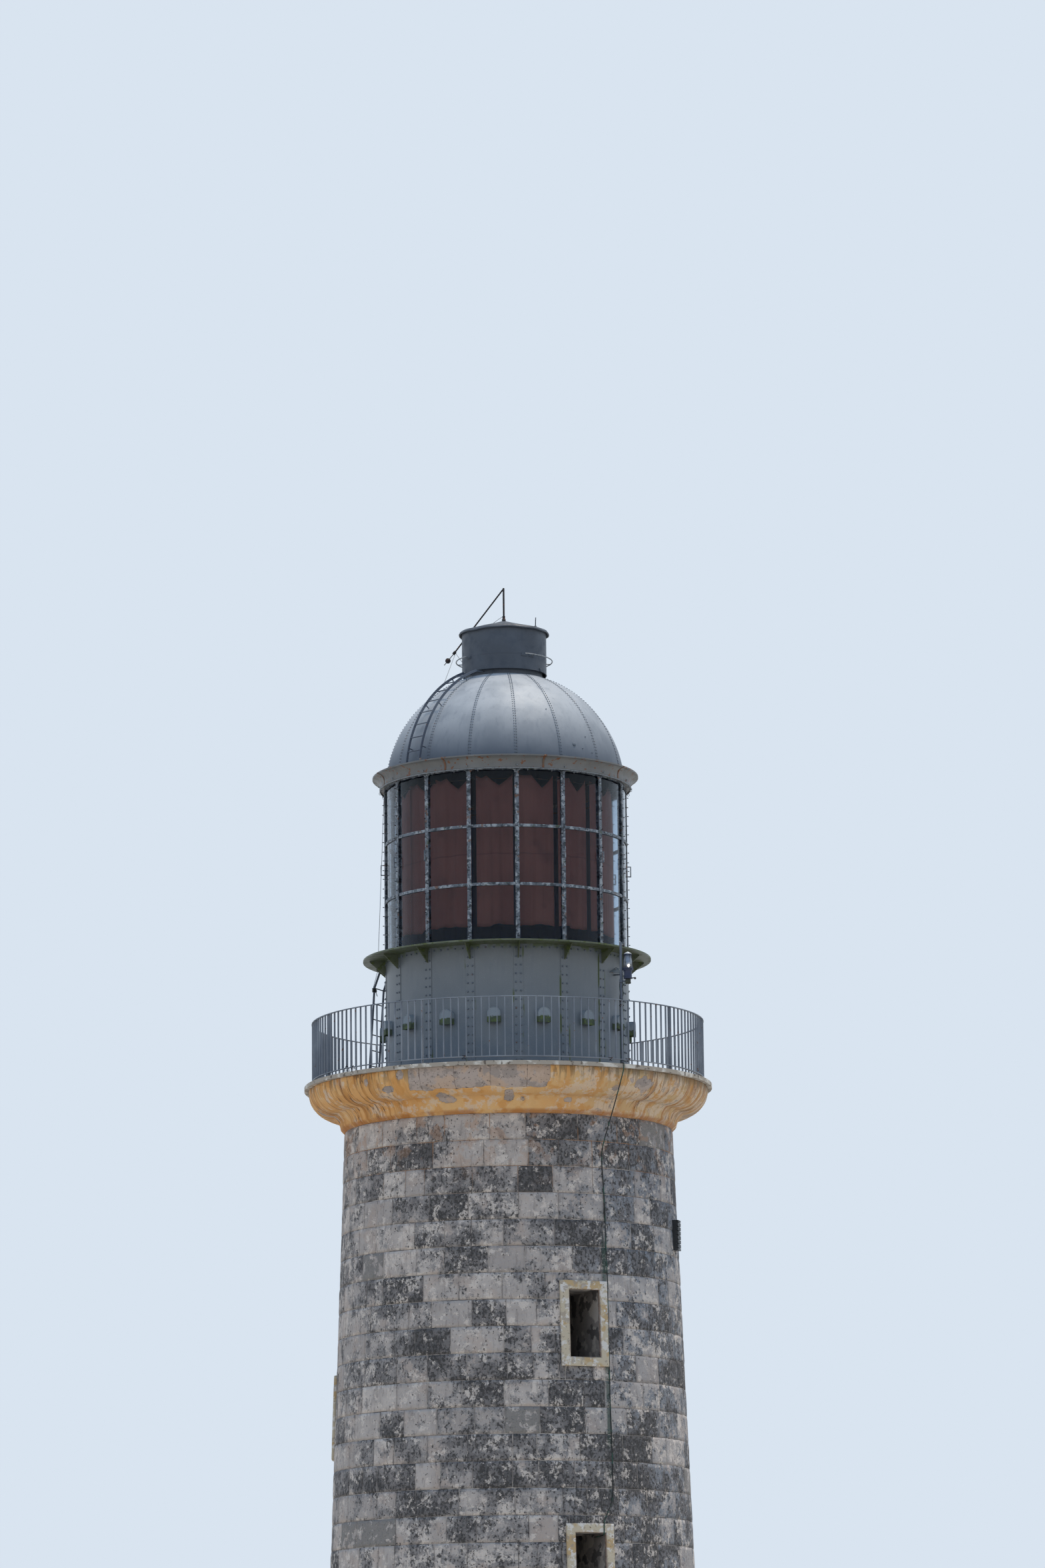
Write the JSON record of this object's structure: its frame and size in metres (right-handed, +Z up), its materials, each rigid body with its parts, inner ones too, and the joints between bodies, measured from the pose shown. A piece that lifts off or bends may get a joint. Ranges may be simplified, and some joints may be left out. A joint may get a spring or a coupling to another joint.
{
  "type": "lighthouse",
  "caption": "Round tapering stone tower with a flared cornice, railed gallery and a domed iron lantern with curtained glazing.",
  "frame": {"origin": "middle of the tower's foot, on the ground", "axes": "+Z up along the tower's axis; -Y is the front, the side that the picture shows"},
  "size_m": [6.3598, 6.3598, 25.265],
  "materials": {
    "wall_stone": "weathered ashlar with lichen and lime",
    "cornice_plaster": "rust-stained ochre plaster, peeling",
    "deck_stone": "worn paving",
    "surround_plaster": "cream plaster",
    "door_wood": "grey-green painted boards",
    "plate_paint": "faded blue-grey paint on riveted plate",
    "hood_paint": "blue-grey paint with algae below",
    "ledge_paint": "blue-grey paint with algae",
    "bar_paint": "flaking grey paint on cast bars",
    "pane_glass": "clear plate glass",
    "curtain_cloth": "faded brown-red cloth",
    "gutter_paint": "grey paint with rusty joints",
    "dome_paint": "aluminium-grey paint on riveted copper",
    "vent_paint": "dark blue-grey paint",
    "galvanised": "weathered galvanised rod",
    "mast_iron": "dark rusted iron",
    "rail_paint": "blue-grey paint on flat bars",
    "ladder_paint": "blue-grey paint",
    "lamp_paint": "dark blue paint",
    "lamp_lens": "clear ribbed lens",
    "cable_rubber": "black cable sheath",
    "box_paint": "black paint"
  },
  "bodies": {
    "root": {"front_wall_lower": "wall_stone", "front_wall_middle": "wall_stone", "front_wall_upper": "wall_stone", "right_wall": "wall_stone", "back_wall_lower": "wall_stone", "back_wall_upper": "wall_stone", "left_wall_lower": "wall_stone", "left_wall_upper": "wall_stone", "cornice": "cornice_plaster", "gallery_deck": "deck_stone", "ground_floor": "deck_stone", "stone_surrounds": "surround_plaster", "entrance_door": "door_wood", "base_plates": "plate_paint", "cover_straps": "plate_paint", "gallery_door": "plate_paint", "vent_hoods": "hood_paint", "ledge_ring": "ledge_paint", "ledge_brackets": "ledge_paint", "mullions": "bar_paint", "glazing_rings": "bar_paint", "mullion_handles": "bar_paint", "head_ring": "bar_paint", "lantern_glass": "pane_glass", "curtains": "curtain_cloth", "lantern_gutter": "gutter_paint", "dome_plates": "dome_paint", "vent_neck": "vent_paint", "vent_drum": "vent_paint", "vent_cap": "vent_paint", "handhold_ring": "galvanised", "grab_ring": "galvanised", "stay_wires": "galvanised", "curtain_rail": "galvanised", "lightning_mast": "mast_iron", "railing_posts": "rail_paint", "railing_panels": "rail_paint", "dome_ladder": "ladder_paint", "gallery_ladder": "ladder_paint", "beacon_pole": "ladder_paint", "beacon_bracket": "ladder_paint", "beacon_base": "lamp_paint", "beacon_lens": "lamp_lens", "beacon_cable": "cable_rubber", "finned_box": "box_paint"}
  },
  "joints": []
}
